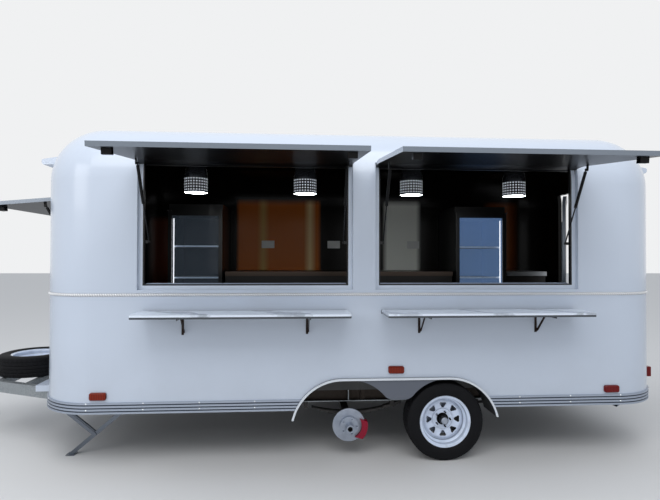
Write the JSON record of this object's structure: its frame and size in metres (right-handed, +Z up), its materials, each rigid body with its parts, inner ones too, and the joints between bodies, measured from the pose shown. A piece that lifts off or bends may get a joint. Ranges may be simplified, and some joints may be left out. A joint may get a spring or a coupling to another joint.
{
  "type": "food trailer",
  "caption": "Food trailer on tandem axles: rounded white body with raised serving hatches, fold-down marble shelves, spare wheel on the drawbar and one wheel removed.",
  "frame": {"origin": "under the middle of the drawbar jack's foot, on the ground and on the trailer's centreline", "axes": "+X towards the rear of the trailer, +Y towards the closed side away from the serving hatches, +Z up"},
  "size_m": [6.6166, 3.1683, 2.568],
  "materials": {
    "body_white": "gloss",
    "floor_ply": "matte",
    "aluminium_trim": "satin",
    "black_frame": "satin",
    "bracket_brown": "satin",
    "galvanised": "satin",
    "fender_sheet": "satin",
    "lamp_lens": "gloss",
    "lamp_metal": "satin",
    "fridge_black": "satin",
    "stainless": "satin",
    "caliper_red": "satin",
    "spring_steel": "matte",
    "tyre_rubber": "matte",
    "rim_white": "gloss",
    "hub_steel": "satin",
    "strut_black": "gloss",
    "strut_rod": "polished",
    "marble": "gloss",
    "steady_zinc": "satin"
  },
  "bodies": {
    "trailer": {"wall_serving": "body_white", "wall_far": "body_white", "cap_front": "body_white", "cap_rear": "body_white", "roof": "body_white", "floor_deck": "floor_ply", "belt_trim": "aluminium_trim", "skirt_trim": "aluminium_trim", "window_frames": "black_frame", "shelf_rails": "bracket_brown", "chassis": "galvanised", "steady_mounts": "steady_zinc", "drawbar": "galvanised", "coupler": "galvanised", "jack_tube": "galvanised", "fenders": "fender_sheet", "marker_lamps": "lamp_lens", "pendant_lamps": "lamp_metal", "fridge_cabinets": "fridge_black", "workbench": "stainless", "axles": "galvanised", "calipers": "caliper_red", "leaf_springs": "spring_steel", "spare_tyre": "tyre_rubber", "spare_rim": "rim_white"},
    "jack_leg": {"jack_leg": "galvanised"},
    "rear_door": {"rear_door": "body_white"},
    "hatch_fore": {"hatch_fore": "body_white"},
    "cylinders_fore": {"cylinders_fore": "strut_black"},
    "rods_fore": {"rods_fore": "strut_rod"},
    "hatch_aft": {"hatch_aft": "body_white"},
    "cylinders_aft": {"cylinders_aft": "strut_black"},
    "rods_aft": {"rods_aft": "strut_rod"},
    "hatch_nose": {"hatch_nose": "body_white"},
    "cylinders_nose": {"cylinders_nose": "strut_black"},
    "rods_nose": {"rods_nose": "strut_rod"},
    "shelf_fore": {"shelf_fore": "marble"},
    "shelf_braces_fore": {"shelf_braces_fore": "bracket_brown"},
    "fridge_door_fore": {"fridge_door_fore": "fridge_black"},
    "shelf_aft": {"shelf_aft": "marble"},
    "shelf_braces_aft": {"shelf_braces_aft": "bracket_brown"},
    "fridge_door_aft": {"fridge_door_aft": "fridge_black"},
    "wheel_near_rear": {"tyre_near_rear": "tyre_rubber", "rim_near_rear": "rim_white", "hub_near_rear": "hub_steel"},
    "wheel_far_front": {"tyre_far_front": "tyre_rubber", "rim_far_front": "rim_white", "hub_far_front": "hub_steel"},
    "wheel_far_rear": {"tyre_far_rear": "tyre_rubber", "rim_far_rear": "rim_white", "hub_far_rear": "hub_steel"},
    "hub_near_front": {"hub_near_front": "hub_steel"},
    "steady_brace_front_near": {"steady_brace_front_near": "steady_zinc"},
    "steady_leg_front_near": {"steady_leg_front_near": "steady_zinc"},
    "steady_brace_front_far": {"steady_brace_front_far": "steady_zinc"},
    "steady_leg_front_far": {"steady_leg_front_far": "steady_zinc"},
    "steady_brace_rear_near": {"steady_brace_rear_near": "steady_zinc"},
    "steady_leg_rear_near": {"steady_leg_rear_near": "steady_zinc"},
    "steady_brace_rear_far": {"steady_brace_rear_far": "steady_zinc"},
    "steady_leg_rear_far": {"steady_leg_rear_far": "steady_zinc"}
  },
  "joints": [
    {"name": "hatch_fore_hinge", "type": "hinge", "parent": "trailer", "child": "hatch_fore", "pos_m": [2.5685, -1.02924, 2.27], "axis": [1, 0, 0], "range_deg": [0, 84]},
    {"name": "cylinders_fore_swing", "type": "hinge", "parent": "hatch_fore", "child": "cylinders_fore", "pos_m": [2.5685, -1.27327, 2.20011], "axis": [1, 0, 0], "range_deg": [-113.29, 1]},
    {"name": "rods_fore_slide", "type": "slide", "parent": "cylinders_fore", "child": "rods_fore", "axis": [0, -0.474, 0.8805], "range_m": [-0.001, 0.2537]},
    {"name": "hatch_aft_hinge", "type": "hinge", "parent": "trailer", "child": "hatch_aft", "pos_m": [4.3315, -1.02924, 2.27], "axis": [1, 0, 0], "range_deg": [0, 84]},
    {"name": "cylinders_aft_swing", "type": "hinge", "parent": "hatch_aft", "child": "cylinders_aft", "pos_m": [4.3315, -1.27327, 2.20011], "axis": [1, 0, 0], "range_deg": [-113.29, 1]},
    {"name": "rods_aft_slide", "type": "slide", "parent": "cylinders_aft", "child": "rods_aft", "axis": [0, -0.474, 0.8805], "range_m": [-0.001, 0.2537]},
    {"name": "hatch_nose_hinge", "type": "hinge", "parent": "trailer", "child": "hatch_nose", "pos_m": [1, 0, 2.04], "axis": [0, -1, 0], "range_deg": [0, 85]},
    {"name": "cylinders_nose_swing", "type": "hinge", "parent": "hatch_nose", "child": "cylinders_nose", "pos_m": [0.87572, 0, 1.9689], "axis": [0, -1, 0], "range_deg": [-116.82, 1]},
    {"name": "rods_nose_slide", "type": "slide", "parent": "cylinders_nose", "child": "rods_nose", "axis": [-0.5123, 0, 0.8588], "range_m": [-0.001, 0.11069]},
    {"name": "rear_door_hinge", "type": "hinge", "parent": "trailer", "child": "rear_door", "pos_m": [5.9, 0.574, 1.2], "axis": [0, 0, 1], "range_deg": [-150, 10]},
    {"name": "shelf_fore_hinge", "type": "hinge", "parent": "trailer", "child": "shelf_fore", "pos_m": [2.5685, -1.07, 1.132], "axis": [1, 0, 0], "range_deg": [0, 90]},
    {"name": "shelf_braces_fore_swing", "type": "hinge", "parent": "trailer", "child": "shelf_braces_fore", "pos_m": [2.5685, -1.06, 1.002], "axis": [1, 0, 0], "range_deg": [-1, 136]},
    {"name": "shelf_aft_hinge", "type": "hinge", "parent": "trailer", "child": "shelf_aft", "pos_m": [4.3315, -1.07, 1.132], "axis": [1, 0, 0], "range_deg": [0, 90]},
    {"name": "shelf_braces_aft_swing", "type": "hinge", "parent": "trailer", "child": "shelf_braces_aft", "pos_m": [4.3315, -1.06, 1.002], "axis": [1, 0, 0], "range_deg": [-1, 136]},
    {"name": "fridge_door_fore_hinge", "type": "hinge", "parent": "trailer", "child": "fridge_door_fore", "pos_m": [1.6405, 0.361, 1.2], "axis": [0, 0, -1], "range_deg": [0, 100]},
    {"name": "fridge_door_aft_hinge", "type": "hinge", "parent": "trailer", "child": "fridge_door_aft", "pos_m": [5.1675, 0.361, 1.2], "axis": [0, 0, 1], "range_deg": [0, 100]},
    {"name": "wheel_near_rear_spin", "type": "hinge", "parent": "trailer", "child": "wheel_near_rear", "pos_m": [4.078, -0.953, 0.298], "axis": [0, 1, 0], "continuous": true},
    {"name": "wheel_far_front_spin", "type": "hinge", "parent": "trailer", "child": "wheel_far_front", "pos_m": [3.35, 0.953, 0.298], "axis": [0, 1, 0], "continuous": true},
    {"name": "wheel_far_rear_spin", "type": "hinge", "parent": "trailer", "child": "wheel_far_rear", "pos_m": [4.078, 0.953, 0.298], "axis": [0, 1, 0], "continuous": true},
    {"name": "hub_near_front_spin", "type": "hinge", "parent": "trailer", "child": "hub_near_front", "pos_m": [3.35, -0.953, 0.25], "axis": [0, 1, 0], "continuous": true},
    {"name": "jack_slide", "type": "slide", "parent": "trailer", "child": "jack_leg", "axis": [0, 0, 1], "range_m": [0, 0.13]},
    {"name": "steady_front_near_swing", "type": "hinge", "parent": "trailer", "child": "steady_brace_front_near", "pos_m": [1.11, -0.72, 0.37], "axis": [0, -1, 0], "range_deg": [0, 35]},
    {"name": "steady_front_near_leg", "type": "hinge", "parent": "steady_brace_front_near", "child": "steady_leg_front_near", "pos_m": [1.36279, -0.72, 0.15788], "axis": [0, -1, 0], "range_deg": [-71, 1]},
    {"name": "steady_front_far_swing", "type": "hinge", "parent": "trailer", "child": "steady_brace_front_far", "pos_m": [1.11, 0.72, 0.37], "axis": [0, -1, 0], "range_deg": [0, 35]},
    {"name": "steady_front_far_leg", "type": "hinge", "parent": "steady_brace_front_far", "child": "steady_leg_front_far", "pos_m": [1.36279, 0.72, 0.15788], "axis": [0, -1, 0], "range_deg": [-71, 1]},
    {"name": "steady_rear_near_swing", "type": "hinge", "parent": "trailer", "child": "steady_brace_rear_near", "pos_m": [5.75, -0.72, 0.37], "axis": [0, -1, 0], "range_deg": [0, 35]},
    {"name": "steady_rear_near_leg", "type": "hinge", "parent": "steady_brace_rear_near", "child": "steady_leg_rear_near", "pos_m": [5.42126, -0.72, 0.34124], "axis": [0, -1, 0], "range_deg": [-71, 1]},
    {"name": "steady_rear_far_swing", "type": "hinge", "parent": "trailer", "child": "steady_brace_rear_far", "pos_m": [5.75, 0.72, 0.37], "axis": [0, -1, 0], "range_deg": [0, 35]},
    {"name": "steady_rear_far_leg", "type": "hinge", "parent": "steady_brace_rear_far", "child": "steady_leg_rear_far", "pos_m": [5.42126, 0.72, 0.34124], "axis": [0, -1, 0], "range_deg": [-71, 1]}
  ],
  "couplings": [
    {"joint": "cylinders_fore_swing", "follows": "hatch_fore_hinge", "ratio": -1.3368},
    {"joint": "rods_fore_slide", "follows": "hatch_fore_hinge", "m_per_rad": 0.17237},
    {"joint": "cylinders_aft_swing", "follows": "hatch_aft_hinge", "ratio": -1.3368},
    {"joint": "rods_aft_slide", "follows": "hatch_aft_hinge", "m_per_rad": 0.17237},
    {"joint": "cylinders_nose_swing", "follows": "hatch_nose_hinge", "ratio": -1.3626},
    {"joint": "rods_nose_slide", "follows": "hatch_nose_hinge", "m_per_rad": 0.073937},
    {"joint": "shelf_braces_fore_swing", "follows": "shelf_fore_hinge", "ratio": 1.5},
    {"joint": "shelf_braces_aft_swing", "follows": "shelf_aft_hinge", "ratio": 1.5},
    {"joint": "steady_front_near_leg", "follows": "steady_front_near_swing", "ratio": -2},
    {"joint": "steady_front_far_leg", "follows": "steady_front_far_swing", "ratio": -2},
    {"joint": "steady_rear_near_leg", "follows": "steady_rear_near_swing", "ratio": -2},
    {"joint": "steady_rear_far_leg", "follows": "steady_rear_far_swing", "ratio": -2}
  ]
}
